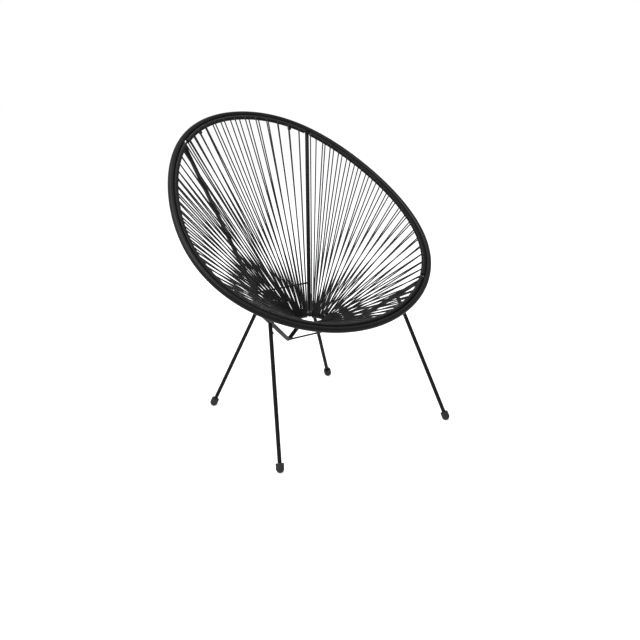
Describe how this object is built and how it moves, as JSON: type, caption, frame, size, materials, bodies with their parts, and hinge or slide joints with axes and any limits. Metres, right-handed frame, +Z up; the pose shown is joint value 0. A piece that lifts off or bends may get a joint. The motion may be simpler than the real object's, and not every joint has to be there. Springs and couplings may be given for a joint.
{
  "type": "acapulco chair",
  "caption": "Low outdoor lounge chair with a round bucket seat of taut cord laced from an egg-shaped double rim to a small ring, on a rod frame with splayed legs and rubber feet",
  "frame": {"origin": "on the floor, under the middle of the chair's outline seen from above", "axes": "+Z up, -Y the way the sitter faces, +X to the right seen from the front; x = 0 is the mirror plane of the frame"},
  "size_m": [0.7514, 0.678, 0.8219],
  "materials": {
    "frame_coat": "black powder coat, semi-gloss, slightly textured",
    "leg_coat": "black powder coat, semi-gloss, slightly textured",
    "screw_steel": "blackened steel, satin",
    "foot_rubber": "black rubber, matt",
    "cord": "black round plastic cord, smooth, soft gloss"
  },
  "bodies": {
    "root": {"rim_tube": "frame_coat", "rim_cord_rod": "frame_coat", "centre_ring": "frame_coat", "strut_front_left": "frame_coat", "strut_front_right": "frame_coat", "strut_rear_left": "frame_coat", "strut_rear_right": "frame_coat", "tie_rod_front": "frame_coat", "tie_rod_rear": "frame_coat", "leg_pin_front_left": "frame_coat", "leg_pin_front_right": "frame_coat", "leg_pin_rear_left": "frame_coat", "leg_pin_rear_right": "frame_coat", "leg_front_left": "leg_coat", "leg_front_right": "leg_coat", "leg_rear_left": "leg_coat", "leg_rear_right": "leg_coat", "leg_screw_front_left": "screw_steel", "leg_screw_front_right": "screw_steel", "leg_screw_rear_left": "screw_steel", "leg_screw_rear_right": "screw_steel", "foot_cap_front_left": "foot_rubber", "foot_cap_front_right": "foot_rubber", "foot_cap_rear_left": "foot_rubber", "foot_cap_rear_right": "foot_rubber", "lacing_back_1": "cord", "lacing_back_2": "cord", "lacing_right_1": "cord", "lacing_right_2": "cord", "lacing_right_3": "cord", "lacing_right_4": "cord", "lacing_front_1": "cord", "lacing_front_2": "cord", "lacing_front_3": "cord", "lacing_left_1": "cord", "lacing_left_2": "cord", "lacing_left_3": "cord", "lacing_left_4": "cord"}
  },
  "joints": []
}
